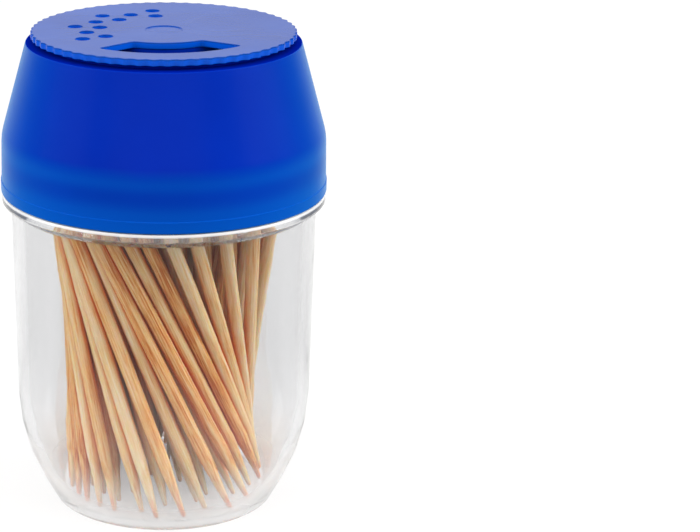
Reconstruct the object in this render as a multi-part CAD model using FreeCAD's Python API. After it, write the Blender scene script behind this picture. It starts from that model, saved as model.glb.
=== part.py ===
import FreeCAD
import Part
import math
import os
import random

# A pocket-size toothpick dispenser: a clear jar, a push-on cap, a dial that turns on the cap,
# and the bundle of toothpicks that leans and twists inside the jar.
# Millimetres. +Z is up, the foot stands on z = 0, and -Y is the front, where the pour slot is at rest.
# A bearing is an angle about Z, counted from the front towards +X. Angles are in degrees.

# Toothpick: a round stick with a long point at each end.
pick_length = 65.0
pick_diameter = 2.05
pick_point_length = 9.0

# Room that the toothpicks are given.
tip_rest_gap = 0.1
head_room = 4.5
pick_wall_gap = 0.55
pick_aim_gap = 0.08
pick_least_gap = 0.02

# Jar: foot ring, flared foot, round shoulder, drafted wall, collar and neck.
foot_radius = 17.4
foot_ring_width = 1.7
foot_recess = 0.6
foot_edge_round = 0.35
foot_flare_angle = 28.4
floor_height = 1.9
floor_corner_round = 0.8
shoulder_round = 30.0
shoulder_wall = 1.7
bore_radius = 21.85
bore_draft_angle = 0.7
body_wall = 1.78
body_draft_angle = 1.0
collar_height = 2.25
collar_edge_height = 1.25
collar_edge_round = 0.3
collar_setback = 0.1
neck_wall = 1.1
neck_rim_gap = 0.5
neck_rim_round = 0.3
neck_bead_depth = 0.14
neck_bead_reach = 0.6
neck_bead_drop = 3.0

# Cap: band, skirt, sloping shoulder, ledge and the deck under the dial.
cap_wall = 1.5
cap_fit_gap = 0.35
cap_seat_gap = 0.15
cap_height = 22.95
cap_band_height = 1.8
cap_band_depth = 0.22
cap_skirt_draft_angle = 0.8
cap_cone_height = 14.25
cap_top_radius = 20.9
cap_shoulder_round = 8.0
cap_inner_round = 3.0
cap_edge_round = 0.25
cap_bead_depth = 0.11
cap_bead_reach = 0.6
cap_bead_below = 1.4
deck_thickness = 1.45
deck_plateau_height = 0.55

# Dial: a scalloped disc with a pour slot, sprinkle holes and a split hub.
dial_setback = 0.8
dial_thickness = 1.0
dial_overhang = 1.6
dial_play = 0.1
dial_teeth = 60
tooth_depth = 0.3
tooth_land = 0.45
slot_inner_radius = 9.1
slot_outer_radius = 15.7
slot_inner_half_angle = 33.5
slot_outer_half_angle = 42.0
slot_corner_round = 0.7
sprinkle_hole_radius = 1.12
sprinkle_column_angle = 18.4
sprinkle_column_count = 7
sprinkle_middle_radius = 11.7
sprinkle_row_offset = 1.9
sprinkle_centre_angle = -122.0
centre_mark_radius = 2.86
centre_mark_depth = 0.15
hub_radius = 4.4
hub_clearance = 0.08
hub_wall = 1.0
hub_lip = 0.35
hub_lip_height = 0.9
hub_slit_width = 0.9
hub_slit_count = 4

# Opening in the deck, which the slot or the holes are turned over.
opening_inner_radius = 8.9
opening_outer_radius = 16.6
opening_half_angle = 59.0
opening_corner_round = 0.7

# One overrun for every cut, and the most of an edge that a rounded corner may take.
overrun = 1.0
most_round_share = 0.75

# Bundle: rings of toothpicks, from the outer ring to the middle. Each ring is a share of the
# outer one at the floor and at the top.
bundle_foot_margin = 0.6
ring_foot_shares = (1.0, 0.78, 0.56, 0.34, 0.15)
ring_head_shares = (1.0, 0.8, 0.6, 0.4, 0.2)
ring_counts = (33, 22, 13, 7, 2)
ring_yield_shares = (0.08, 0.6, 1.0, 1.0, 1.0)
# Bearings of foot and head round the outer ring. Across the front the feet stand in a row while
# the heads crowd to the left, and on the right the feet crowd while the heads spread out.
# The last pair closes the ring, and the stretch before it is the even back of the bundle.
foot_bearings = (-62, -53, -43, -31, -18, -5, 9, 23, 36, 48, 60, 71, 81, 90, 98, 106, 114, 121, 298)
head_bearings = (
    -128, -116, -106, -98, -91, -84, -78, -72, -66, -60, -54, -46, -35, -21, -5, 14, 38, 64, 232
)
back_steps = 16
bearing_jitter_angle = 2.0
ring_jitter_share = 0.04
bundle_seed = 11
settle_sweeps = 240
settle_list_sweeps = 12
settle_list_reach = 2.0
single_nodes = 56

# Levels, worked up from the floor through the toothpicks to the dial.
pick_radius = pick_diameter / 2
tip_level = floor_height + tip_rest_gap
deck_bottom = tip_level + pick_length + head_room
ledge_level = deck_bottom + deck_thickness
deck_top = ledge_level + deck_plateau_height
dial_bottom = deck_top + dial_play
dial_top = dial_bottom + dial_thickness
cap_bottom = ledge_level - cap_height
cone_level = ledge_level - cap_cone_height
collar_top = cap_bottom - cap_seat_gap
collar_bottom = collar_top - collar_height

# Radii, worked out from the bore to the cap and the dial.
neck_radius = bore_radius + neck_wall
cap_inner_radius = neck_radius + cap_fit_gap
cap_radius = cap_inner_radius + cap_wall
dial_radius = cap_top_radius - dial_setback
plateau_radius = dial_radius - dial_overhang

centre = FreeCAD.Vector(0, 0, 0)
upward = FreeCAD.Vector(0, 0, 1)
full_turn = 360


def slope(angle):
    """Sideways run for each unit of rise."""
    return math.tan(math.radians(angle))


def profile_point(radius, level):
    return FreeCAD.Vector(radius, 0, level)


def plan_point(radius, bearing, level=0):
    turn = math.radians(bearing)
    return FreeCAD.Vector(radius * math.sin(turn), -radius * math.cos(turn), level)


def crossing(first, first_angle, second, second_angle):
    """Corner where two profile lines meet; each is a (radius, level) and an angle from upright."""
    rise = second[0] - first[0] + slope(first_angle) * first[1] - slope(second_angle) * second[1]
    level = rise / (slope(first_angle) - slope(second_angle))
    return first[0] + slope(first_angle) * (level - first[1]), level


def rounded_outline(corners):
    """Closed wire through (point, round radius) corners, with a tangent arc at each rounded one."""
    stretches = []
    for place, (corner, rounding) in enumerate(corners):
        next_place = (place + 1) % len(corners)
        back = (corners[place - 1][0] - corner).normalize()
        ahead = (corners[next_place][0] - corner).normalize()
        half = back.getAngle(ahead) / 2
        shorter = min((corners[place - 1][0] - corner).Length, (corners[next_place][0] - corner).Length)
        reach = min(rounding / math.tan(half), shorter * most_round_share)
        rounding = reach * math.tan(half)
        middle = corner + (back + ahead).normalize() * (rounding / math.sin(half) - rounding)
        stretches.append((corner + back * reach, middle, corner + ahead * reach, rounding))
    edges = []
    for place, (start, middle, end, rounding) in enumerate(stretches):
        if rounding:
            edges.append(Part.Arc(start, middle, end).toShape())
        edges.append(Part.makeLine(end, stretches[(place + 1) % len(stretches)][0]))
    return Part.Wire(edges)


def turned(corners):
    """Solid of revolution about Z from (radius, level, round radius) corners."""
    points = [(profile_point(radius, level), rounding) for radius, level, rounding in corners]
    return Part.Face(rounded_outline(points)).revolve(centre, upward, full_turn)


def ring_sector(inner, outer, inner_half, outer_half, rounding, low, high):
    """Block between two arcs about Z, centred on the front, with its upright edges rounded."""
    near = [plan_point(inner, bearing, low) for bearing in (-inner_half, 0, inner_half)]
    far = [plan_point(outer, bearing, low) for bearing in (outer_half, 0, -outer_half)]
    edges = [
        Part.Arc(*near).toShape(),
        Part.makeLine(near[-1], far[0]),
        Part.Arc(*far).toShape(),
        Part.makeLine(far[-1], near[0]),
    ]
    block = Part.Face(Part.Wire(edges)).extrude(upward * (high - low))
    upright = [edge for edge in block.Edges if abs(edge.BoundBox.ZLength - (high - low)) < rounding]
    return block.makeFillet(rounding, upright)


def make_jar():
    """Clear moulding: its inside is one drafted bore, so that a straight core can leave it."""
    rim_level = cap_inner_corner()[1] - neck_rim_gap
    collar_radius = cap_radius + cap_band_depth - collar_setback
    inner_at_collar = bore_radius - slope(bore_draft_angle) * (rim_level - collar_bottom)
    body_radius = inner_at_collar + body_wall
    shoulder = crossing(
        (foot_radius, 0), foot_flare_angle, (body_radius, collar_bottom), body_draft_angle
    )
    inner_foot_radius = foot_radius - shoulder_wall / math.cos(math.radians(foot_flare_angle))
    inner_shoulder = crossing(
        (inner_foot_radius, 0), foot_flare_angle, (bore_radius, rim_level), bore_draft_angle
    )
    floor_radius = inner_foot_radius + slope(foot_flare_angle) * floor_height
    ring_inner_radius = foot_radius - foot_ring_width
    bead_level = rim_level - neck_bead_drop
    return turned([
        (0, foot_recess, 0),
        (ring_inner_radius - foot_recess, foot_recess, foot_edge_round),
        (ring_inner_radius, 0, 0),
        (foot_radius, 0, foot_edge_round),
        (shoulder[0], shoulder[1], shoulder_round),
        (body_radius, collar_bottom, 0),
        (collar_radius, collar_top - collar_edge_height, collar_edge_round),
        (collar_radius, collar_top, collar_edge_round),
        (neck_radius, collar_top, 0),
        (neck_radius, bead_level - neck_bead_reach, 0),
        (neck_radius + neck_bead_depth, bead_level, 0),
        (neck_radius, bead_level + neck_bead_reach, 0),
        (neck_radius, rim_level, neck_rim_round),
        (bore_radius, rim_level, neck_rim_round),
        (inner_shoulder[0], inner_shoulder[1], shoulder_round - shoulder_wall),
        (floor_radius, floor_height, floor_corner_round),
        (0, floor_height, 0),
    ])


def cap_cone_angle():
    """Lean of the sloping shoulder, from upright."""
    return math.degrees(math.atan((cap_radius - cap_top_radius) / cap_cone_height))


def cap_inner_corner():
    """Inner corner between the skirt and the sloping shoulder, one wall inside the outer one."""
    return cap_inner_radius, cone_level - cap_wall * slope(cap_cone_angle() / 2)


def make_cap():
    """Push-on cap: an even wall, with one opening in its deck."""
    skirt_foot_radius = cap_radius + slope(cap_skirt_draft_angle) * (cone_level - cap_bottom)
    band_top = cap_bottom + cap_band_height
    band_radius = cap_radius + cap_band_depth
    inner_corner = cap_inner_corner()
    lean = slope(cap_cone_angle())
    deck_edge_radius = inner_corner[0] - lean * (deck_bottom - inner_corner[1])
    bead_level = inner_corner[1] - neck_rim_gap - neck_bead_drop - cap_bead_below
    bead_radius = cap_inner_radius - cap_bead_depth
    body = turned([
        (cap_inner_radius, cap_bottom, cap_edge_round),
        (band_radius, cap_bottom, cap_edge_round),
        (band_radius, band_top, 0),
        (skirt_foot_radius, band_top, 0),
        (cap_radius, cone_level, cap_shoulder_round),
        (cap_top_radius, ledge_level, cap_edge_round),
        (plateau_radius, ledge_level, 0),
        (plateau_radius, deck_top, 0),
        (hub_radius + hub_clearance, deck_top, 0),
        (hub_radius + hub_clearance, deck_bottom, 0),
        (deck_edge_radius, deck_bottom, cap_edge_round),
        (inner_corner[0], inner_corner[1], cap_inner_round),
        (cap_inner_radius, bead_level + cap_bead_reach, 0),
        (bead_radius, bead_level, 0),
        (cap_inner_radius, bead_level - cap_bead_reach, 0),
    ])
    opening = ring_sector(
        opening_inner_radius, opening_outer_radius, opening_half_angle, opening_half_angle,
        opening_corner_round, deck_bottom - overrun, deck_top + overrun,
    )
    return body.cut(opening)


def scalloped_disc():
    """Disc whose edge is a row of shallow hollows with a narrow land between them."""
    pitch = full_turn / dial_teeth
    half_hollow = pitch / 2 - math.degrees(tooth_land / dial_radius) / 2
    edges = []
    for tooth in range(dial_teeth):
        bearing = tooth * pitch
        start = plan_point(dial_radius, bearing - half_hollow, dial_bottom)
        bottom = plan_point(dial_radius - tooth_depth, bearing, dial_bottom)
        end = plan_point(dial_radius, bearing + half_hollow, dial_bottom)
        land_end = plan_point(dial_radius, bearing + pitch - half_hollow, dial_bottom)
        edges.append(Part.Arc(start, bottom, end).toShape())
        edges.append(Part.makeLine(end, land_end))
    return Part.Face(Part.Wire(edges)).extrude(upward * dial_thickness)


def sprinkle_places():
    """Radius and bearing of each hole: two in every other column and one between them."""
    places = []
    for column in range(sprinkle_column_count):
        from_middle = column - (sprinkle_column_count - 1) / 2
        bearing = sprinkle_centre_angle + from_middle * sprinkle_column_angle
        if column % 2:
            places.append((sprinkle_middle_radius, bearing))
        else:
            places.append((sprinkle_middle_radius - sprinkle_row_offset, bearing))
            places.append((sprinkle_middle_radius + sprinkle_row_offset, bearing))
    return places


def make_hub():
    """Split tube that snaps through the deck: the lip under the deck keeps the dial down."""
    lip_top = deck_bottom - dial_play
    lip_bottom = lip_top - hub_lip_height
    inner_radius = hub_radius - hub_wall
    tube = turned([
        (inner_radius, dial_bottom, 0),
        (inner_radius, lip_bottom, 0),
        (hub_radius - hub_lip, lip_bottom, 0),
        (hub_radius + hub_lip, lip_top - hub_lip, 0),
        (hub_radius + hub_lip, lip_top, 0),
        (hub_radius, lip_top, 0),
        (hub_radius, dial_bottom, 0),
    ])
    depth = dial_bottom - lip_bottom
    slit = Part.makeBox(hub_radius + overrun, hub_slit_width, depth + overrun)
    slit.translate(FreeCAD.Vector(0, -hub_slit_width / 2, lip_bottom - overrun))
    slits = []
    for place in range(hub_slit_count):
        copy = slit.copy()
        copy.rotate(centre, upward, (place + 1 / 2) * full_turn / hub_slit_count)
        slits.append(copy)
    return tube.cut(slits)


def make_dial():
    disc = scalloped_disc()
    slot = ring_sector(
        slot_inner_radius, slot_outer_radius, slot_inner_half_angle, slot_outer_half_angle,
        slot_corner_round, dial_bottom - overrun, dial_top + overrun,
    )
    cuts = [slot]
    for radius, bearing in sprinkle_places():
        place = plan_point(radius, bearing, dial_bottom - overrun)
        cuts.append(Part.makeCylinder(sprinkle_hole_radius, dial_thickness + 2 * overrun, place))
    mark = profile_point(0, dial_top - centre_mark_depth)
    cuts.append(Part.makeCylinder(centre_mark_radius, centre_mark_depth + overrun, mark))
    return disc.cut(cuts).fuse(make_hub()).removeSplitter()


# A toothpick's axis is kept as [foot x, foot y, head x, head y]. Its foot stands at the tip level,
# and its head is as high as its length leaves.


def head_rise(pick):
    """Height of the head over the foot."""
    return math.sqrt(pick_length ** 2 - (pick[2] - pick[0]) ** 2 - (pick[3] - pick[1]) ** 2)


def nearest(first, second):
    """Shares along two axes where they are closest, and the vector from the second to the first."""
    ax, ay, az = first[2] - first[0], first[3] - first[1], head_rise(first)
    bx, by, bz = second[2] - second[0], second[3] - second[1], head_rise(second)
    gx, gy = first[0] - second[0], first[1] - second[1]
    long_sq = pick_length ** 2
    along = ax * bx + ay * by + az * bz
    on_first = ax * gx + ay * gy
    on_second = bx * gx + by * gy
    spread = long_sq * long_sq - along * along
    share = 0.0
    if spread > long_sq * long_sq * 1e-9:
        share = min(1.0, max(0.0, (along * on_second - long_sq * on_first) / spread))
    other = (along * share + on_second) / long_sq
    if other < 0 or other > 1:
        other = min(1.0, max(0.0, other))
        share = min(1.0, max(0.0, (along * other - on_first) / long_sq))
    return share, other, (
        gx + ax * share - bx * other,
        gy + ay * share - by * other,
        az * share - bz * other,
    )


def shift(pick, share, x, y):
    """Move the point at a share of the axis by x, y, with the foot and head by their leverage."""
    leverage = (1 - share) ** 2 + share ** 2
    pick[0] += x * (1 - share) / leverage
    pick[1] += y * (1 - share) / leverage
    pick[2] += x * share / leverage
    pick[3] += y * share / leverage


def keep_inside(pick, foot_limit, head_limit):
    for place, limit in ((0, foot_limit), (2, head_limit)):
        out = math.hypot(pick[place], pick[place + 1])
        if out > limit:
            pick[place] *= limit / out
            pick[place + 1] *= limit / out


def close_pairs(picks, reach):
    pairs = []
    for one in range(len(picks)):
        for two in range(one):
            gap = nearest(picks[one], picks[two])[2]
            if math.sqrt(gap[0] ** 2 + gap[1] ** 2 + gap[2] ** 2) < reach:
                pairs.append((one, two))
    return pairs


def settle(picks, yields, foot_limit, head_limit):
    """Push crossing toothpicks apart until they only touch, as they do when the jar is filled."""
    aim = pick_diameter + pick_aim_gap
    for sweep in range(settle_sweeps):
        if sweep % settle_list_sweeps == 0:
            pairs = close_pairs(picks, pick_diameter * settle_list_reach)
        moved = False
        for one, two in pairs:
            share, other, (x, y, z) = nearest(picks[one], picks[two])
            gap = math.sqrt(x * x + y * y + z * z)
            if gap < aim:
                level = max(math.hypot(x, y), pick_least_gap)
                push = min((aim - gap) * gap / level ** 2, pick_radius / level)
                part = yields[one] / (yields[one] + yields[two])
                shift(picks[one], share, x * push * part, y * push * part)
                shift(picks[two], other, -x * push * (1 - part), -y * push * (1 - part))
                moved = True
        for pick in picks:
            keep_inside(pick, foot_limit, head_limit)
        if not moved:
            break
    return picks


def drop_crossing(picks):
    """Keep the toothpicks that are clear of every one kept before them."""
    kept = []
    least = pick_diameter + pick_least_gap
    for pick in picks:
        gaps = [nearest(pick, other)[2] for other in kept]
        if all(x * x + y * y + z * z > least * least for x, y, z in gaps):
            kept.append(pick)
    return kept


def bearings_at(share):
    """Bearings of foot and head at a share of the way round the ring, from its left limb."""
    front_steps = len(foot_bearings) - 2
    step = share * (front_steps + back_steps)
    if step < front_steps:
        place = int(step)
        part = step - place
    else:
        place = front_steps
        part = (step - front_steps) / back_steps
    return [row[place] * (1 - part) + row[place + 1] * part for row in (foot_bearings, head_bearings)]


def lay_bundle():
    """Toothpicks laid ring by ring, each ring a twisted cage inside the last, then settled."""
    chance = random.Random(bundle_seed)
    inner_foot_radius = foot_radius - shoulder_wall / math.cos(math.radians(foot_flare_angle))
    foot_limit = inner_foot_radius + slope(foot_flare_angle) * floor_height - bundle_foot_margin
    head_limit = bore_radius - pick_radius - pick_wall_gap
    limits = (foot_limit, head_limit)
    picks, yields = [], []
    rings = zip(zip(ring_foot_shares, ring_head_shares), ring_counts, ring_yield_shares)
    for ring, (shares, count, ring_yield) in enumerate(rings):
        offset = ring % 2 / 2
        for place in range(count):
            pick = []
            for limit, share, bearing in zip(limits, shares, bearings_at((place + offset) / count)):
                bearing += chance.uniform(-1, 1) * bearing_jitter_angle
                radius = limit * share * (1 - chance.random() * ring_jitter_share)
                end = plan_point(radius, bearing)
                pick += [end.x, end.y]
            picks.append(pick)
            yields.append(ring_yield)
    return drop_crossing(settle(picks, yields, foot_limit, head_limit))


def make_pick(pick):
    """One toothpick, turned from its half outline and laid along its axis."""
    stick = turned([
        (0, 0, 0),
        (pick_radius, pick_point_length, 0),
        (pick_radius, pick_length - pick_point_length, 0),
        (0, pick_length, 0),
    ])
    axis = FreeCAD.Vector(pick[2] - pick[0], pick[3] - pick[1], head_rise(pick))
    foot = FreeCAD.Vector(pick[0], pick[1], tip_level)
    stick.Placement = FreeCAD.Placement(foot, FreeCAD.Rotation(upward, axis))
    return stick


def main():
    os.makedirs("parts", exist_ok=True)
    make_jar().exportStep("parts/jar.step")
    make_cap().exportStep("parts/cap.step")
    make_dial().exportStep("parts/dial.step")
    picks = lay_bundle()
    for number, pick in enumerate(picks[:single_nodes], 1):
        make_pick(pick).exportStep(f"parts/toothpick_{number:02d}.step")
    middle = [make_pick(pick) for pick in picks[single_nodes:]]
    Part.makeCompound(middle).exportStep("parts/toothpicks_middle.step")
    highest = max(tip_level + head_rise(pick) for pick in picks)
    print("toothpicks:", len(picks), "highest head:", round(highest, 2), "deck:", round(deck_bottom, 2))


main()
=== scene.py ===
# %% [markdown]
# # A toothpick dispenser, dressed for the camera
# The object is a small clear jar with a blue push-on cap, a scalloped dial on
# top of the cap, and a twisted bundle of bamboo toothpicks inside. The CAD model
# already says where every piece is. This notebook gives each piece a finer mesh
# and a finish, and builds the studio around it, one small step at a time.

import bpy
import bmesh
import math
import random
from mathutils import Matrix, Vector


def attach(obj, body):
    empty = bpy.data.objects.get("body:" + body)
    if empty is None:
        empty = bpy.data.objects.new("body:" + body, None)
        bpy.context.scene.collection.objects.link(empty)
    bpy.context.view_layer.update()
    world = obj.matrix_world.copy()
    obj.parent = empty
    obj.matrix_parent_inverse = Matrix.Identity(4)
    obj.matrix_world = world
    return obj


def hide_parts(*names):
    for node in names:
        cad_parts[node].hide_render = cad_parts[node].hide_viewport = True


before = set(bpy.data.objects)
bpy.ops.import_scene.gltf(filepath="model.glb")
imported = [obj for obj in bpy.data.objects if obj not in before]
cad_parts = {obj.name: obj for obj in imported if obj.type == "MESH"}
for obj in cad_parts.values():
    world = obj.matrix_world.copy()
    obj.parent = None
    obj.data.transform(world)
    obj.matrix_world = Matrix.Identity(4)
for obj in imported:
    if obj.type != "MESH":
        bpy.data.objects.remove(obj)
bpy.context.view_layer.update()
scene = bpy.context.scene

# %% [markdown]
# ## Units
# Blender's unit here is the metre, and this object is easier to think about in
# millimetres. One tiny helper keeps every number below readable.

# %% Millimetres
def mm(*values):
    """Millimetres as metres: one value alone, or several as a tuple."""
    scaled = tuple(value / 1000 for value in values)
    return scaled[0] if len(scaled) == 1 else scaled


# %% [markdown]
# ## The camera
# A long lens, about 340 mm away and a little above the cap, looking down on the
# jar. The object stands left of the middle of the picture with its upright lines
# still upright, which is what a lens shift does and what turning the camera
# would not.

# %% Camera
camera_place = mm(-28.2, -342.6, 150.6)
camera_pitch = math.radians(18.28)
camera_lens = 119.5
camera_shift = 0.266

camera = bpy.data.objects.new("camera", bpy.data.cameras.new("camera"))
scene.collection.objects.link(camera)
camera.location = camera_place
camera_turn = math.atan2(camera_place[0], -camera_place[1])
camera.rotation_euler = (math.pi / 2 - camera_pitch, 0, camera_turn)
camera.data.lens = camera_lens
camera.data.shift_x = camera_shift
camera.data.clip_start = mm(10)
scene.camera = camera
scene.view_settings.view_transform = "Standard"
print("camera turned by", round(math.degrees(camera_turn), 2), "degrees")

# %% [markdown]
# ## Materials, a node at a time
# A Blender material is a small graph of nodes. One helper starts a material with
# its shader, and another adds a node and wires its inputs. With those two in
# hand the graphs below read almost like sums.

# %% Material and node
def new_material(name, **settings):
    """A material with one Principled shader, and its node tree."""
    material = bpy.data.materials.new(name)
    material.use_nodes = True
    shader = material.node_tree.nodes["Principled BSDF"]
    for socket, value in settings.items():
        shader.inputs[socket.replace("_", " ")].default_value = value
    return material, material.node_tree, shader


def add_node(tree, kind, inputs=(), **settings):
    """A node of that kind. An input is a value, or the output socket that feeds it."""
    node = tree.nodes.new(kind)
    for name, value in settings.items():
        setattr(node, name, value)
    for place, value in dict(inputs).items():
        if isinstance(value, bpy.types.NodeSocket):
            tree.links.new(value, node.inputs[place])
        else:
            node.inputs[place].default_value = value
    return node


print("two helpers ready")

# %% [markdown]
# ## Numbers and patterns
# Most nodes in this notebook do one of three things: a sum, a pattern of clouds,
# or a value that goes from low to high between two places. Each gets a helper.

# %% Number helpers
def maths(tree, operation, first, second=0.0, third=0.0):
    """One sum on numbers or sockets."""
    inputs = {0: first, 1: second, 2: third}
    return add_node(tree, "ShaderNodeMath", inputs, operation=operation).outputs[0]


def between(tree, value, first, last, low=0.0, high=1.0, smooth=False):
    """low up to the first value, high from the last one on, and all that lies between on the way."""
    inputs = {"Value": value, "From Min": first, "From Max": last, "To Min": low, "To Max": high}
    kind = "SMOOTHSTEP" if smooth else "LINEAR"
    return add_node(tree, "ShaderNodeMapRange", inputs, interpolation_type=kind).outputs["Result"]


def noise(tree, place, scale, detail, **more):
    """A pattern of clouds from 0 to 1. A larger scale gives smaller clouds."""
    inputs = {"Vector": place, "Scale": scale, "Detail": detail, **more}
    return add_node(tree, "ShaderNodeTexNoise", inputs).outputs["Fac"]


def swayed(tree, value, pattern, reach):
    """The value, moved by a 0 to 1 pattern up or down, by half the reach at most."""
    return maths(tree, "MULTIPLY_ADD", pattern, reach, maths(tree, "SUBTRACT", value, reach / 2))


print("number helpers ready")

# %% [markdown]
# ## Colours
# A colour on a screen is written in steps from 0 to 255 that aren't even steps of
# light, so it is turned into linear light before a shader gets it. A ramp lays
# colours out along a pattern, and a mix turns one colour into another.

# %% Colour helpers
def as_written(*rgb):
    """A colour given as 0 to 255 screen values, turned into the linear values a shader takes."""
    shares = [value / 255 for value in rgb]
    return tuple(s / 12.92 if s <= 0.04045 else ((s + 0.055) / 1.055) ** 2.4 for s in shares)


def grey(value):
    """A grey of that linear value."""
    return (value, value, value)


def ramp(tree, factor, stops, interpolation="LINEAR"):
    """Colours along a 0 to 1 factor: stops are (place, colour) pairs."""
    node = add_node(tree, "ShaderNodeValToRGB", {"Fac": factor})
    node.color_ramp.interpolation = interpolation
    while len(node.color_ramp.elements) < len(stops):
        node.color_ramp.elements.new(0.5)
    for element, (place, colour) in zip(node.color_ramp.elements, stops):
        element.position = place
        element.color = (*colour, 1)
    return node.outputs["Color"]


def blended(tree, share, first, second, blend_type="MIX"):
    """The first colour, turned into the second by that share. Each is a socket or a colour."""
    first, second = ((*c, 1) if isinstance(c, tuple) else c for c in (first, second))
    inputs = {"Factor": share, "A": first, "B": second}
    node = add_node(tree, "ShaderNodeMix", inputs, data_type="RGBA", blend_type=blend_type)
    return node.outputs["Result"]


def bumped(tree, shader, height, strength, depth):
    """Let a pattern of heights tilt the shader's surface. The depth is in millimetres."""
    bump = add_node(tree, "ShaderNodeBump", {"Height": height, "Strength": strength, "Distance": mm(depth)})
    tree.links.new(bump.outputs["Normal"], shader.inputs["Normal"])


print("mid grey 128 is", round(as_written(128)[0], 3), "to a shader")

# %% [markdown]
# ## The studio
# White on all sides. That white is only what the camera, the clear plastic and
# some reflections see. The light that falls on the object is kept apart from it
# and is much dimmer, so that the colours stay as they are written. Reflections
# find the full white behind the object and little of it elsewhere. They find
# less of it low down too, which lets the ripples in the dial's skin show.

# %% White for each kind of ray
front_gloss = 0.04
behind_range = (0.4, 0.9)
thrown_range = (0.1, -0.2)


def swept(tree, heading):
    """1 straight behind the object and front_gloss elsewhere. heading is 1 behind and -1 in front."""
    return between(tree, heading, *behind_range, front_gloss, 1.0, smooth=True)


def background_seen(tree, mirrored, heading):
    """How much of the white background a ray shows. Camera rays and rays through clear plastic see
    all of it, unless a clear wall has thrown them back to the front. The rest see the mirrored share."""
    path = add_node(tree, "ShaderNodeLightPath").outputs
    thrown = maths(tree, "MINIMUM", path["Glossy Depth"], 1.0)
    thrown = maths(tree, "MULTIPLY", between(tree, heading, *thrown_range), thrown)
    through = maths(tree, "MULTIPLY", path["Is Transmission Ray"], maths(tree, "SUBTRACT", 1.0, thrown))
    white = maths(tree, "MAXIMUM", path["Is Camera Ray"], through)
    return maths(tree, "MAXIMUM", white, maths(tree, "MULTIPLY", mirrored, path["Is Glossy Ray"]))


print("reflections see", front_gloss, "of the white in front")

# %% World
world_light = 0.68
low_gloss = 0.5
low_sky_range = (0.18, 0.25)

world = bpy.data.worlds.new("studio")
world.use_nodes = True
scene.world = world
tree = world.node_tree
skyward = add_node(tree, "ShaderNodeTexCoord").outputs["Generated"]
sky = add_node(tree, "ShaderNodeSeparateXYZ", {0: skyward}).outputs
low_sky = between(tree, sky["Z"], *low_sky_range, low_gloss, 1.0)
sky_mirrored = maths(tree, "MULTIPLY", swept(tree, sky["Y"]), low_sky)
diffuse = add_node(tree, "ShaderNodeLightPath").outputs["Is Diffuse Ray"]
soft = maths(tree, "MULTIPLY", diffuse, world_light)
strength = maths(tree, "MAXIMUM", background_seen(tree, sky_mirrored, sky["Y"]), soft)
background = tree.nodes["Background"]
background.inputs["Color"].default_value = (*grey(1), 1)
tree.links.new(strength, background.inputs["Strength"])
print("the world's light on the object:", world_light)

# %% [markdown]
# ## The floor
# A plane that glows white by itself would hide every shadow. Close to the object
# this one glows a little less and is painted a little paler instead: the lamps
# make up the difference, and the object's soft shadow stays. Reflections see it
# white beside the object and behind it.

# %% Floor
floor_pale = 0.15
floor_lift = 0.82
floor_size = 6.0
away_range = mm(120, 700)
beside_range = mm(40, 90)

floor_paint, tree, shader = new_material("floor paint", Roughness=0.9, Specular_IOR_Level=0.0)
shader.inputs["Emission Color"].default_value = (*grey(1), 1)
place = add_node(tree, "ShaderNodeTexCoord").outputs["Object"]
distance = add_node(tree, "ShaderNodeVectorMath", {0: place}, operation="LENGTH").outputs["Value"]
away = between(tree, distance, *away_range, smooth=True)
tree.links.new(ramp(tree, away, [(0, grey(floor_pale)), (1, grey(0))]), shader.inputs["Base Color"])

northward = add_node(tree, "ShaderNodeSeparateXYZ", {0: place}).outputs["Y"]
floor_heading = maths(tree, "DIVIDE", northward, distance)
beside = between(tree, distance, *beside_range, 1.0, 0.0, smooth=True)
floor_mirrored = maths(tree, "MAXIMUM", swept(tree, floor_heading), beside)
glow = ramp(tree, away, [(0, grey(floor_lift)), (1, grey(1))])
glow = maths(tree, "MULTIPLY", glow, background_seen(tree, floor_mirrored, floor_heading))
tree.links.new(glow, shader.inputs["Emission Strength"])

bpy.ops.mesh.primitive_plane_add(size=floor_size, location=(0, 0, 0))
floor = bpy.context.object
floor.name = "floor"
floor.data.materials.append(floor_paint)
print("a floor of", floor_size, "m")

# %% [markdown]
# ## Lamps
# Big area lamps wrap softly round a cylinder. One stands on each side, one hangs
# above and a little behind, and the largest stands far out in front. Those at
# the sides make the two sides of the cap paler than its front.

# %% Lamps
def soft_lamp(name, place, target, size, power):
    """A square area lamp at place that faces target; size in metres, power in watts."""
    light = bpy.data.lights.new(name, "AREA")
    light.size = size
    light.energy = power
    lamp = bpy.data.objects.new(name, light)
    scene.collection.objects.link(lamp)
    lamp.location = place
    lamp.visible_glossy = False
    lamp.rotation_mode = "QUATERNION"
    lamp.rotation_quaternion = (Vector(target) - Vector(place)).to_track_quat("-Z", "Y")
    return lamp


jar_middle = mm(0, 0, 40)
jar_low = mm(0, 0, 30)
lamps = [
    soft_lamp("lamp_left", (-0.95, -0.15, 0.45), jar_middle, 0.7, 8.0),
    soft_lamp("lamp_right", (0.95, -0.25, 0.5), jar_middle, 0.8, 11.0),
    soft_lamp("lamp_above", (0.0, 0.25, 1.1), jar_middle, 0.9, 4.5),
    soft_lamp("lamp_front", (-0.2, -1.3, 0.5), jar_low, 1.8, 12.0),
]
print(len(lamps), "lamps of", sum(lamp.data.energy for lamp in lamps), "W together")

# %% [markdown]
# ## Turned shapes
# The jar and the cap are bodies of revolution. A lathe is the natural way to
# make them: draw half of the section with rounded corners, then carry it round
# the upright axis in small steps.

# %% Rounded section
arc_step = math.radians(10)
longest_reach_share = 0.75


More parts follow.
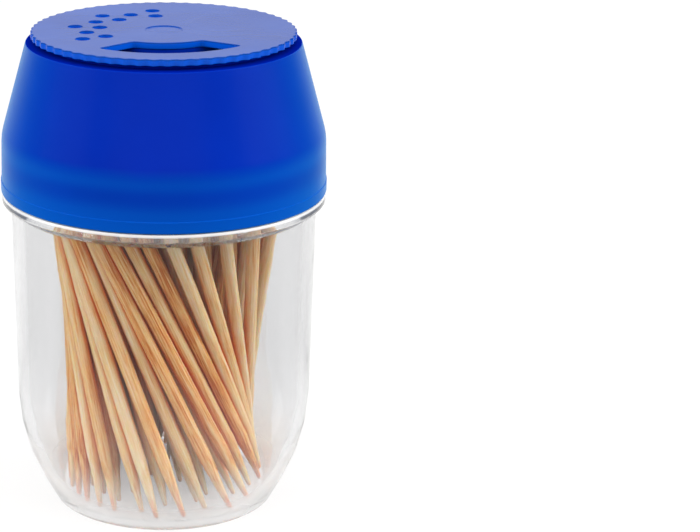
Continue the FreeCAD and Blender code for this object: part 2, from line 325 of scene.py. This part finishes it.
def rounded_section(corners):
    """Points of a closed section, from (radius, level, rounding) corners in millimetres."""
    points = []
    for place, (radius, level, rounding) in enumerate(corners):
        here = Vector((radius, level))
        back = Vector(corners[place - 1][:2]) - here
        ahead = Vector(corners[(place + 1) % len(corners)][:2]) - here
        if not rounding:
            points.append(here)
            continue
        half = back.angle(ahead) / 2
        reach = min(rounding / math.tan(half), longest_reach_share * min(back.length, ahead.length))
        to_centre = (back.normalized() + ahead.normalized()).normalized()
        middle = here + to_centre * reach / math.cos(half)
        start = here + back.normalized() * reach - middle
        end = here + ahead.normalized() * reach - middle
        first = math.atan2(start.y, start.x)
        sweep = math.remainder(math.atan2(end.y, end.x) - first, 2 * math.pi)
        steps = max(2, math.ceil(abs(sweep) / arc_step))
        for step in range(steps + 1):
            angle = first + sweep * step / steps
            points.append(middle + start.length * Vector((math.cos(angle), math.sin(angle))))
    return points


trial = rounded_section([(0, 0, 0), (5, 0, 1), (5, 5, 1), (0, 5, 0)])
print("a rounded section of", len(trial), "points")

# %% Lathe
around = 192
axis_radius = 1e-6


def finished_mesh(shape, name):
    """A mesh from a shape that was built up corner by corner."""
    mesh = bpy.data.meshes.new(name)
    shape.to_mesh(mesh)
    shape.free()
    return mesh


def turned_mesh(name, section, steps=around):
    """A closed section carried round Z. A point on the axis becomes one shared corner."""
    shape = bmesh.new()
    rings = []
    for radius, level in section:
        count = steps if radius > axis_radius else 1
        angles = [2 * math.pi * step / count for step in range(count)]
        corners = [mm(radius * math.sin(a), -radius * math.cos(a), level) for a in angles]
        rings.append([shape.verts.new(corner) for corner in corners])
    for lower, upper in zip(rings, rings[1:] + rings[:1]):
        for step in range(steps if len(lower) + len(upper) > 2 else 0):
            after = step + 1
            corners = [lower[step % len(lower)], lower[after % len(lower)],
                       upper[after % len(upper)], upper[step % len(upper)]]
            shape.faces.new(dict.fromkeys(corners))
    bmesh.ops.recalc_face_normals(shape, faces=shape.faces)
    return finished_mesh(shape, name)


print("the lathe takes", around, "steps")

# %% [markdown]
# ## A piece for a node
# Each dressed piece moves with a body of the mechanism and stands for one or more CAD nodes, which are
# hidden. Corners sharper than a given angle stay crisp, and the rest is shaded smooth.

# %% Piece
def add_piece(name, mesh, material, body, nodes, sharp=35):
    """Put a mesh in the scene as the piece that stands for those CAD nodes."""
    piece = bpy.data.objects.new(name, mesh)
    scene.collection.objects.link(piece)
    mesh.materials.clear()
    mesh.materials.append(material)
    mesh.shade_smooth()
    mesh.set_sharp_from_angle(angle=math.radians(sharp))
    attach(piece, body)
    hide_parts(*nodes)
    return piece


# %% [markdown]
# ## Clear plastic
# The jar is moulded from clear polystyrene, which bends light a little more than glass does (index 1.59). The
# collar's rim is painted milky white, a painted highlight, and a little of it reaches down its flank; the
# wall also turns hazy towards the foot. A clear wall lets the lamps' light through to the bamboo behind it,
# and a path tracer finds that light slowly, so shadow rays and the rays of matt surfaces pass through a plain
# see-through shader instead.

# %% Where the wall is milky
# The collar's milky white is a painted highlight; the foot's haze grows towards the bottom.
collar_highlight = 0.8
flank_highlight = 0.15
foot_frost = 0.32
collar_levels = (49.25, 49.6)
flank_levels = (47.9, 48.6)
foot_levels = (13.0, 1.0)
collar_radii = (24.0, 24.4)


def rising(tree, value, first, last, most=1.0):
    """0 at the first place and most at the last, both in millimetres."""
    return between(tree, value, mm(first), mm(last), 0.0, most, smooth=True)


def collar_highlight_and_foot_haze(tree, place):
    """How milky the wall is: a painted highlight, most at the collar's rim and little on its flank, and a
    haze that grows again towards the foot.
    """
    level = add_node(tree, "ShaderNodeSeparateXYZ", {0: place}).outputs["Z"]
    flat = add_node(tree, "ShaderNodeVectorMath", {0: place, 1: (1, 1, 0)}, operation="MULTIPLY")
    flat = flat.outputs["Vector"]
    radius = add_node(tree, "ShaderNodeVectorMath", {0: flat}, operation="LENGTH").outputs["Value"]
    rim = rising(tree, level, *collar_levels, collar_highlight)
    flank = rising(tree, level, *flank_levels, flank_highlight)
    collar = maths(tree, "MULTIPLY", maths(tree, "MAXIMUM", rim, flank), rising(tree, radius, *collar_radii))
    return maths(tree, "MAXIMUM", collar, rising(tree, level, *foot_levels, foot_frost))


print("milky by", collar_highlight, "at the collar and", foot_frost, "at the foot")

# %% Clear plastic
smoky_clear = (0.86, 0.86, 0.865)
scuff_range = (0.55, 0.8)
polished, scuffed = 0.02, 0.12


def clear_plastic():
    """Clear where it isn't milky, with faint scuffs, and plain see-through to light on its way in."""
    material, tree, shader = new_material("clear plastic", IOR=1.59)
    place = add_node(tree, "ShaderNodeTexCoord").outputs["Object"]
    # Milky white: a painted highlight at the collar and a haze at the foot.
    highlight_and_haze = collar_highlight_and_foot_haze(tree, place)
    tint = ramp(tree, highlight_and_haze, [(0.0, smoky_clear), (0.25, grey(0.97)), (0.8, grey(0.98))])
    tree.links.new(tint, shader.inputs["Base Color"])
    tree.links.new(maths(tree, "SUBTRACT", 1.0, highlight_and_haze), shader.inputs["Transmission Weight"])
    scuffs = between(tree, noise(tree, place, 900.0, 4.0), *scuff_range, polished, scuffed)
    tree.links.new(scuffs, shader.inputs["Roughness"])
    bumped(tree, shader, noise(tree, place, 140.0, 2.0), strength=0.06, depth=0.4)
    path = add_node(tree, "ShaderNodeLightPath").outputs
    passing = maths(tree, "MAXIMUM", path["Is Shadow Ray"], path["Is Diffuse Ray"])
    film = add_node(tree, "ShaderNodeBsdfTransparent", {"Color": (*grey(0.97), 1)})
    wall = add_node(tree, "ShaderNodeMixShader", {0: passing, 1: shader.outputs[0], 2: film.outputs[0]})
    tree.links.new(wall.outputs[0], tree.nodes["Material Output"].inputs["Surface"])
    return material


clear_wall = clear_plastic()
print("made", clear_wall.name)

# %% [markdown]
# ## The jar
# One thick-walled turning: a foot ring with a shallow recess under the floor, a
# flared shoulder that rounds into an almost upright wall, the collar that the
# cap sits on, and the thin neck that the cap hides. Each line below is one
# stretch of the section, in the order in which a finger would follow it.

# %% Jar
jar_foot = [(0, 0.6, 0), (15.1, 0.6, 0.35), (15.7, 0, 0.25), (17.4, 0, 0.35)]
jar_wall = [(22.848, 10.076, 30.0), (23.503, 47.6, 0.2)]
jar_collar = [(24.92, 48.6, 0.3), (24.92, 49.85, 0.12), (22.95, 49.85, 0.15)]
neck_bead = [(22.95, 54.4, 0), (23.09, 55.0, 0.2), (22.95, 55.6, 0)]
neck_rim = [(22.95, 58.0, 0.3), (21.85, 58.0, 0.3)]
jar_inside = [(21.273, 10.736, 28.3), (16.495, 1.9, 0.8), (0, 1.9, 0)]

jar_section = rounded_section(jar_foot + jar_wall + jar_collar + neck_bead + neck_rim + jar_inside)
jar = add_piece("jar_clear", turned_mesh("jar", jar_section), clear_wall, "jar", ["jar"])
print("jar:", len(jar.data.polygons), "faces")

# %% [markdown]
# ## Cutting and joining
# The cap has one opening in its deck, and the dial has a slot, holes and a hub.
# Blender's Boolean modifier cuts one closed mesh with another. The helper runs
# it once and keeps the finished mesh, so no modifier is left behind.

# %% Boolean helper
def combined(mesh, tools, operation="DIFFERENCE"):
    """The mesh after each tool mesh is cut from it or joined to it."""
    work = bpy.data.objects.new("work", mesh)
    scene.collection.objects.link(work)
    for tool in tools:
        other = bpy.data.objects.new("tool", tool)
        scene.collection.objects.link(other)
        step = work.modifiers.new("step", "BOOLEAN")
        step.operation, step.solver, step.object = operation, "EXACT", other
        view = bpy.context.evaluated_depsgraph_get()
        result = bpy.data.meshes.new_from_object(work.evaluated_get(view))
        work.modifiers.clear()
        work.data = result
        bpy.data.objects.remove(other)
    bpy.data.objects.remove(work)
    return result


print("cutter ready")

# %% [markdown]
# ## Slots between two arcs
# The opening in the deck and the slot in the dial have the same kind of plan: an
# inner arc, an outer arc and four rounded corners. One function draws both. A
# block over such a plan is the tool that cuts the opening.

# %% Slot outline
arc_steps, corner_steps = 24, 4


def sector_outline(inner, outer, inner_half, outer_half, rounding):
    """Plan of a slot centred on the front, from radii in millimetres and half angles in degrees."""
    def arc(radius, first, last):
        angles = [math.radians(first + (last - first) * step / arc_steps) for step in range(arc_steps + 1)]
        return [Vector((radius * math.sin(a), -radius * math.cos(a))) for a in angles]

    sides = [arc(inner, -inner_half, inner_half), arc(outer, outer_half, -outer_half)]
    points = []
    for side, other in (sides, sides[::-1]):
        points += [p for p in side if min((p - side[0]).length, (p - side[-1]).length) > rounding]
        for corner, before, after in ((side[-1], side[-2], other[0]), (other[0], side[-1], other[1])):
            start = corner + (before - corner).normalized() * rounding
            end = corner + (after - corner).normalized() * rounding
            for step in range(corner_steps + 1):
                share = step / corner_steps
                points.append(start.lerp(corner, share).lerp(corner.lerp(end, share), share))
    return points


def upright_block(name, outline, low, high):
    """A closed block between two levels over a plan outline, all in millimetres."""
    shape = bmesh.new()
    floor_ring = [shape.verts.new(mm(x, y, low)) for x, y in outline]
    roof_ring = [shape.verts.new(mm(x, y, high)) for x, y in outline]
    shape.faces.new(floor_ring)
    shape.faces.new(roof_ring)
    for place in range(len(outline)):
        shape.faces.new([floor_ring[place - 1], floor_ring[place], roof_ring[place], roof_ring[place - 1]])
    bmesh.ops.recalc_face_normals(shape, faces=shape.faces)
    return finished_mesh(shape, name)


slot_rounding = 0.7
opening_levels = (70.5, 74.5)
slot = sector_outline(9.1, 15.7, 33.5, 42.0, slot_rounding)
opening = upright_block("opening", sector_outline(8.9, 16.6, 59, 59, slot_rounding), *opening_levels)
print("the dial's slot has", len(slot), "points")

# %% [markdown]
# ## Blue plastic
# Moulded polypropylene: one blue all through, with a satin skin that ripples a little. Light coming through
# the thin skirt is painted into its colour in soft bands that follow the height on the wall: painted shade
# where the neck of the jar stands close behind it, and painted light just above and below. A blue sheen pales
# the wall where it turns away at the sides. The cap's ledge and deck take a second blue without gloss or
# sheen: the ledge a darker blue, painted shade under the dial, and the deck a paler blue, painted light. The
# dial's edge and walls are painted a paler blue too, painted light.

# %% Bands on the skirt
# The skirt's bands are painted light and painted shade: paler where light comes through the thin wall, darker
# where the neck stands behind it.
skirt_light_blue = as_written(0, 78, 180)
band_levels = mm(49.9, 60.0)
band_wobble = mm(0.8)
band_shares = [(0.0, 0.9), (0.34, 0.7), (0.48, 0.3), (0.62, 0.25), (0.74, 0.65), (0.84, 0.5), (1.0, 0.0)]


def skirt_light_bands(tree, height, cloud):
    """How pale the skirt is at each height, as painted light and painted shade, with a slight wobble."""
    wobble = maths(tree, "MULTIPLY_ADD", cloud, band_wobble, height)
    stops = [(place, grey(share)) for place, share in band_shares]
    return ramp(tree, between(tree, wobble, *band_levels), stops, "B_SPLINE")


print(len(band_shares), "stops over", round(1000 * (band_levels[1] - band_levels[0]), 1), "mm of the skirt")

# %% Blue plastic
sheen_tint = (0.02, 0.6, 1.0, 1.0)
grain_height = 0.006


def blue_plastic(name, deep, light, gloss, sheen=0.0, banded=False, layers=(), waves=0.05):
    """A blue that drifts from deep to light. banded adds the skirt's painted light and shade. A layer is
    (first level, last level, paint): the paint, painted light, covers the blue from the last level on. waves
    is how high the skin ripples, in millimetres."""
    material, tree, shader = new_material(name, IOR=1.49, Specular_IOR_Level=gloss, Sheen_Weight=sheen,
                                          Sheen_Roughness=0.5, Sheen_Tint=sheen_tint)
    place = add_node(tree, "ShaderNodeTexCoord").outputs["Object"]
    height = add_node(tree, "ShaderNodeSeparateXYZ", {0: place}).outputs["Z"]
    cloud = noise(tree, place, 55.0, 3.0)
    colour = ramp(tree, cloud, [(0.3, as_written(*deep)), (0.7, as_written(*light))])
    if banded:
        colour = blended(tree, skirt_light_bands(tree, height, cloud), colour, skirt_light_blue)
    for first, last, paint in layers:
        colour = blended(tree, rising(tree, height, first, last), colour, paint)
    tree.links.new(colour, shader.inputs["Base Color"])
    flow = noise(tree, place, 90.0, 3.0, Distortion=1.5)
    tree.links.new(between(tree, flow, 0.0, 1.0, 0.2, 0.3), shader.inputs["Roughness"])
    grain = noise(tree, place, 1800.0, 2.0)
    relief = maths(tree, "MULTIPLY_ADD", grain, grain_height / waves, flow)
    bumped(tree, shader, relief, strength=0.4, depth=waves)
    return material


# Painted light on the deck and on the dial's edge and walls; the ledge blue below is painted shade.
lit_deck_layer = (73.3, 73.45, as_written(0, 50, 158))
lit_edge_layer = (74.44, 74.36, as_written(0, 80, 200))
cap_blue = blue_plastic("cap blue", (0, 17, 147), (0, 26, 160), gloss=0.05, sheen=0.45, banded=True)
shaded_top_blue = blue_plastic("cap top shaded blue", (0, 20, 130), (0, 28, 144), gloss=0.0, layers=[lit_deck_layer])
dial_blue = blue_plastic("dial blue", (0, 58, 146), (0, 70, 164), gloss=0.44, layers=[lit_edge_layer], waves=0.25)
print("made", [blue.name for blue in (cap_blue, shaded_top_blue, dial_blue)])

# %% [markdown]
# ## The cap
# A thin even wall: a short skirt with a narrow band at its foot, then a sloping shoulder up to a ledge, and a
# flat deck one low step higher that carries the dial. The opening in the deck lies behind the dial's slot.
# Ledge and deck take the second blue, which is told by the height of each face: painted shade on the ledge
# under the dial, and painted light on the deck.

# %% Cap
cap_band = [(23.3, 50.0, 0.25), (25.02, 50.0, 0.25), (25.02, 51.8, 0.1), (24.91, 51.8, 0.05)]
cap_shoulder = [(24.8, 58.7, 8.0), (20.9, 72.95, 0.3)]
cap_deck = [(18.5, 72.95, 0.1), (18.5, 73.5, 0.15), (4.48, 73.5, 0), (4.48, 71.5, 0)]
cap_inside = [(19.742, 71.5, 0.25), (23.3, 58.498, 3.0)]
cap_bead = [(23.3, 54.2, 0), (23.19, 53.6, 0.2), (23.3, 53.0, 0)]
ledge_level = 72.9

cap_section = rounded_section(cap_band + cap_shoulder + cap_deck + cap_inside + cap_bead)
cap_mesh = combined(turned_mesh("cap", cap_section), [opening])
cap = add_piece("cap_blue", cap_mesh, cap_blue, "cap", ["cap"])
# Faces above the ledge level take the blue with painted shade on the ledge and painted light on the deck.
cap.data.materials.append(shaded_top_blue)
for face in cap.data.polygons:
    face.material_index = int(face.center.z > mm(ledge_level))
cap.modifiers.new("flat faces stay flat", "WEIGHTED_NORMAL").keep_sharp = True
print("cap:", len(cap.data.polygons), "faces")

# %% [markdown]
# ## The dial
# A thin plate with a scalloped edge. Blender's 2-D curves are made for this: a
# closed outline with the slot and the holes as more closed outlines inside it
# fills itself, and its bevel rounds every edge alike.

# %% Dial outlines
dial_radius, tooth_depth, tooth_width = 20.1, 0.3, 0.45
teeth, hollow_steps, hole_steps = 60, 6, 32
hole_radius, hole_columns = 1.12, 7
holes_bearing, column_spacing = -122.0, 18.4
single_reach, pair_reach = [11.7], [9.8, 13.6]


def plan_point(radius, bearing):
    """A point at a bearing in degrees from the front, turning towards the right."""
    turn = math.radians(bearing)
    return Vector((radius * math.sin(turn), -radius * math.cos(turn)))


def scalloped_edge():
    """The dial's rim: shallow hollows with a narrow tooth between each two."""
    pitch = 360 / teeth
    half = pitch / 2 - math.degrees(tooth_width / dial_radius) / 2
    points = []
    for tooth in range(teeth):
        for step in range(hollow_steps + 1):
            swing = 2 * step / hollow_steps - 1
            radius = dial_radius - tooth_depth * (1 - swing ** 2)
            points.append(plan_point(radius, tooth * pitch + swing * half))
    return points


def circle_outline(centre, radius, steps):
    """A circle of that many points."""
    return [centre + plan_point(radius, 360 * step / steps) for step in range(steps)]


holes = []
for column in range(hole_columns):
    bearing = holes_bearing + (column - hole_columns // 2) * column_spacing
    reach = single_reach if column % 2 else pair_reach
    holes += [circle_outline(plan_point(radius, bearing), hole_radius, hole_steps) for radius in reach]
print("scallops:", teeth, "holes:", len(holes))

# %% Dial plate
dial_low, dial_high, dial_edge = 73.6, 74.6, 0.13
edge_steps, weld_gap = 3, 0.002


def plate_mesh(name, outlines, low, high, edge):
    """A flat plate with holes and rounded edges, from plan outlines in millimetres."""
    curve = bpy.data.curves.new(name, "CURVE")
    curve.dimensions, curve.fill_mode = "2D", "BOTH"
    curve.extrude = mm((high - low) / 2 - edge)
    curve.bevel_depth, curve.bevel_resolution, curve.offset = mm(edge), edge_steps, -mm(edge)
    for outline in outlines:
        spline = curve.splines.new("POLY")
        spline.points.add(len(outline) - 1)
        for point, (x, y) in zip(spline.points, outline):
            point.co = (*mm(x, y), 0, 1)
        spline.use_cyclic_u = True
    holder = bpy.data.objects.new(name, curve)
    scene.collection.objects.link(holder)
    view = bpy.context.evaluated_depsgraph_get()
    mesh = bpy.data.meshes.new_from_object(holder.evaluated_get(view))
    bpy.data.objects.remove(holder)
    mesh.transform(Matrix.Translation((0, 0, mm((low + high) / 2))))
    shape = bmesh.new()
    shape.from_mesh(mesh)
    bmesh.ops.remove_doubles(shape, verts=shape.verts, dist=mm(weld_gap))
    shape.to_mesh(mesh)
    shape.free()
    return mesh


plate = plate_mesh("dial", [scalloped_edge(), slot, *holes], dial_low, dial_high, dial_edge)
print("plate:", len(plate.polygons), "faces")

# %% [markdown]
# ## The hub
# Under the plate a short tube with a lip snaps through the hole in the deck. Two
# crossed cuts part it into four prongs, which let the real one spring inwards. A
# shallow round recess marks its place on top.

# %% Hub and recess
hub_steps = 64
prongs, first_slit = 4, 45
slit_half, slit_reach, slit_low = 0.45, 6, 69.5
recess_corners = [(0, 74.45, 0), (2.7, 74.45, 0.1), (2.86, 74.6, 0), (3.0, 75.0, 0), (0, 75.0, 0)]
hub_corners = [(3.4, 73.7, 0), (3.4, 70.5, 0.1), (4.05, 70.5, 0.1), (4.75, 71.05, 0.05),
               (4.75, 71.4, 0.05), (4.4, 71.4, 0), (4.4, 73.7, 0)]

recess = turned_mesh("recess", rounded_section(recess_corners), hub_steps)
slit_plan = [(0, -slit_half), (slit_reach, -slit_half), (slit_reach, slit_half), (0, slit_half)]
slits = []
for prong in range(prongs):
    slit = upright_block("slit", slit_plan, slit_low, dial_low)
    slit.transform(Matrix.Rotation(math.radians(first_slit + 360 * prong / prongs), 4, "Z"))
    slits.append(slit)
hub = combined(turned_mesh("hub", rounded_section(hub_corners), hub_steps), slits)
print("hub:", len(hub.polygons), "faces")

# %% Dial
dial_mesh = combined(combined(plate, [recess]), [hub], "UNION")
dial = add_piece("dial_blue", dial_mesh, dial_blue, "dial", ["dial"])
dial.modifiers.new("flat faces stay flat", "WEIGHTED_NORMAL").keep_sharp = True
print("dial:", len(dial.data.polygons), "faces")

# %% [markdown]
# ## Bamboo
# A toothpick is split from a cane and rounded, so fine fibres run from end to
# end. The pattern needs to know where it is on its own toothpick. Each mesh
# carries that place with it, as an attribute: two steps across and one along.
# A second attribute gives each toothpick its own tone. Light soaks a little way into the wood. The narrow
# gaps between two sticks are painted darker and warmer, a painted shade that stands for the dimmer light
# thrown there from wood to wood.

# %% Bamboo
drawn_out_shares = (1.0, 1.0, 0.035)
broad_reach, tone_reach, patch_reach = 0.5, 0.30, 0.25
gap_shade_depth = 2.5
bamboo_tones = [(0.22, (184, 98, 36)), (0.36, (216, 153, 86)), (0.47, (230, 184, 127)),
                (0.6, (236, 202, 156)), (0.8, (242, 220, 188))]
gap_shade_tones = [(0.0, (255, 124, 36)), (0.35, (255, 176, 92)), (0.75, (255, 255, 255))]


def toned(tree, factor, tones):
    """A ramp through colours that are given as screen values."""
    return ramp(tree, factor, [(place, as_written(*tone)) for place, tone in tones])


def bamboo():
    """Long fibres in a pale wood, with patches, a tone for each stick, and painted shade in the gaps, darker
    and warmer.
    """
    material, tree, shader = new_material(
        "bamboo", IOR=1.45, Specular_IOR_Level=0.2, Subsurface_Weight=0.6,
        Subsurface_Radius=(1.0, 0.4, 0.12), Subsurface_Scale=mm(2.5))
    place = add_node(tree, "ShaderNodeAttribute", attribute_name="place").outputs["Vector"]
    tone = add_node(tree, "ShaderNodeAttribute", attribute_name="tone").outputs["Fac"]
    drawn_out = add_node(tree, "ShaderNodeMapping", {"Vector": place, "Scale": drawn_out_shares}).outputs[0]
    broad = noise(tree, drawn_out, 1.1, 3.0)
    fibres = noise(tree, drawn_out, 4.2, 4.0, Roughness=0.7)
    patches = noise(tree, place, 0.11, 2.0)
    mixed = swayed(tree, fibres, broad, broad_reach)
    shade = swayed(tree, swayed(tree, mixed, tone, tone_reach), patches, patch_reach)
    # Painted shade: the gaps between sticks, found by ambient occlusion, are painted darker and warmer.
    corners = {"Distance": mm(gap_shade_depth)}
    open_share = add_node(tree, "ShaderNodeAmbientOcclusion", corners, samples=6).outputs["AO"]
    gap_shade = toned(tree, open_share, gap_shade_tones)
    colour = blended(tree, 1.0, toned(tree, shade, bamboo_tones), gap_shade, "MULTIPLY")
    tree.links.new(colour, shader.inputs["Base Color"])
    tree.links.new(between(tree, fibres, 0.0, 1.0, 0.5, 0.8), shader.inputs["Roughness"])
    bumped(tree, shader, mixed, strength=0.9, depth=0.16)
    return material


bamboo_skin = bamboo()
print("made", bamboo_skin.name)

# %% [markdown]
# ## Where each toothpick lies
# The CAD nodes already hold the settled bundle. Each toothpick there is one
# closed shell, so the two ends of its axis are the middles of the two little
# flats at its tips.

# %% Toothpick axes
same_corner, tip_slice, axis_rounds = 0.001, 0.02, 3


def shells(node):
    """The corner points of each closed shell in a CAD node, in the order of the node's corners."""
    shape = bmesh.new()
    shape.from_mesh(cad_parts[node].data)
    bmesh.ops.remove_doubles(shape, verts=shape.verts, dist=mm(same_corner))
    left = set(shape.verts)
    found = []
    for first in shape.verts:
        if first not in left:
            continue
        left.remove(first)
        stack = [first]
        group = []
        while stack:
            corner = stack.pop()
            group.append(corner.co.copy())
            near = [edge.other_vert(corner) for edge in corner.link_edges]
            stack += [other for other in near if other in left]
            left.difference_update(near)
        found.append(group)
    shape.free()
    return found


def axis_of(points):
    """Foot and head of the long thin shell that these points belong to."""
    middle = sum(points, Vector()) / len(points)
    far = max(points, key=lambda p: (p - middle).length)
    along = (far - max(points, key=lambda p: (p - far).length)).normalized()
    for step in range(axis_rounds):
        reach = [p.dot(along) for p in points]
        top = [p for p, r in zip(points, reach) if r > max(reach) - mm(tip_slice)]
        low = [p for p, r in zip(points, reach) if r < min(reach) + mm(tip_slice)]
        head, foot = sum(top, Vector()) / len(top), sum(low, Vector()) / len(low)
        along = (head - foot).normalized()
    return (foot, head) if foot.z < head.z else (head, foot)


toothpick_nodes = sorted(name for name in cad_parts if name.startswith("toothpick"))
axes = {name: [axis_of(shell) for shell in shells(name)] for name in toothpick_nodes}
lengths = [(head - foot).length * 1000 for pair in axes.values() for foot, head in pair]
print("toothpicks:", len(lengths), "from", round(min(lengths), 2), "to", round(max(lengths), 2), "mm long")

# %% [markdown]
# ## The outline of a toothpick
# A tube of rings along the axis. The rings stand close together at the two
# points, where they shrink, and further apart along the shank.

# %% Rings of a toothpick
pick_radius, point_length, blunt_radius = 1.025, 9.0, 0.3
tip_places = [0.15, 0.25, 0.45, 0.85, 1.6, 3.0, 4.8, 6.8, 8.4, 9.6, 11.5]
shank_steps = 22
swell = 0.12
tip_share, tip_rounding = 0.55, 0.25


def ring_stations(length):
    """Distances along the axis, close together at the points."""
    shank_start = tip_places[-1]
    shank = length - 2 * shank_start
    middle = [shank_start + shank * step / shank_steps for step in range(1, shank_steps)]
    return tip_places + middle + [length - place for place in reversed(tip_places)]


def radius_at(place, length):
    """The radius there: pick_radius on the shank, and less towards a tip."""
    from_tip = min(place, length - place)
    share = min(1.0, from_tip / point_length)
    eased = share * (1 + swell - swell * share)
    full = blunt_radius + (pick_radius - blunt_radius) * min(1.0, eased)
    past_tip = min(1.0, (from_tip - tip_places[0]) / tip_rounding)
    return full * min(1.0, tip_share + (1 - tip_share) * math.sqrt(past_tip))


print("rings on a toothpick:", len(ring_stations(65)))

# %% [markdown]
# ## One toothpick
# No ring is quite round: a rounded splinter keeps shallow flats that wander
# along it, and its points are slightly skewed, all within the room that the CAD
# toothpick has. Chance picks the flats, the skew, the tone and the stretch of
# fibre pattern for each.

# %% Toothpick mesh
pick_around, flat_count, flat_power = 20, 3, 6
deepest_flat, most_skew, most_shift = 0.09, 0.12, 4000
wave_rate, wave_turn, wave_depth = 0.19, 0.15, 0.4


def add_toothpick(shape, foot, head, chance, place_layer, tone_layer):
    """One toothpick into a growing mesh, with its own place and tone on every corner."""
    along = (head - foot).normalized()
    across = along.orthogonal().normalized()
    across = Matrix.Rotation(chance.uniform(0, 2 * math.pi), 3, along) @ across
    beside = along.cross(across)
    length = (head - foot).length * 1000
    tone, shift = chance.random(), chance.uniform(0, most_shift)
    flats = [(chance.uniform(0, 2 * math.pi), chance.uniform(0, deepest_flat)) for flat in range(flat_count)]
    foot_skew = [chance.uniform(-most_skew, most_skew) for way in range(2)]
    head_skew = [chance.uniform(-most_skew, most_skew) for way in range(2)]
    rings = []
    for place in ring_stations(length):
        full = radius_at(place, length)
        thin = 1 - full / pick_radius
        skew = foot_skew if place < length / 2 else head_skew
        wave = math.sin(place * wave_rate + shift)
        ring = []
        for step in range(pick_around):
            angle = 2 * math.pi * step / pick_around
            facing = [max(0.0, math.cos(angle - turn - wave_turn * wave)) for turn, depth in flats]
            dent = sum(depth * near ** flat_power for near, (turn, depth) in zip(facing, flats))
            radius = full * (1 - dent * (1 + wave_depth * wave))
            x = radius * math.cos(angle) + skew[0] * thin
            y = radius * math.sin(angle) + skew[1] * thin
            corner = shape.verts.new(foot + along * mm(place) + across * mm(x) + beside * mm(y))
            corner[place_layer] = (x, y, place + shift)
            corner[tone_layer] = tone
            ring.append(corner)
        rings.append(ring)
    for lower, upper in zip(rings, rings[1:]):
        for step in range(pick_around):
            after = (step + 1) % pick_around
            shape.faces.new([lower[step], lower[after], upper[after], upper[step]])
    shape.faces.new(rings[0][::-1])
    shape.faces.new(rings[-1])


print("corners on a toothpick:", pick_around * len(ring_stations(65)))

# %% [markdown]
# ## The bundle
# Every CAD node of toothpicks becomes one bamboo piece. Nearly all nodes hold a
# single toothpick, and the last one holds those in the middle of the bundle.

# %% The bundle
chance = random.Random(7)
bamboo_sharp = 50
corner_count = 0
for node in toothpick_nodes:
    shape = bmesh.new()
    place_layer = shape.verts.layers.float_vector.new("place")
    tone_layer = shape.verts.layers.float.new("tone")
    for foot, head in axes[node]:
        add_toothpick(shape, foot, head, chance, place_layer, tone_layer)
    mesh = finished_mesh(shape, node)
    name = node.replace("toothpick", "bamboo")
    add_piece(name, mesh, bamboo_skin, "toothpicks", [node], bamboo_sharp)
    corner_count += len(mesh.vertices)
print("bundle:", len(toothpick_nodes), "pieces,", corner_count, "corners")
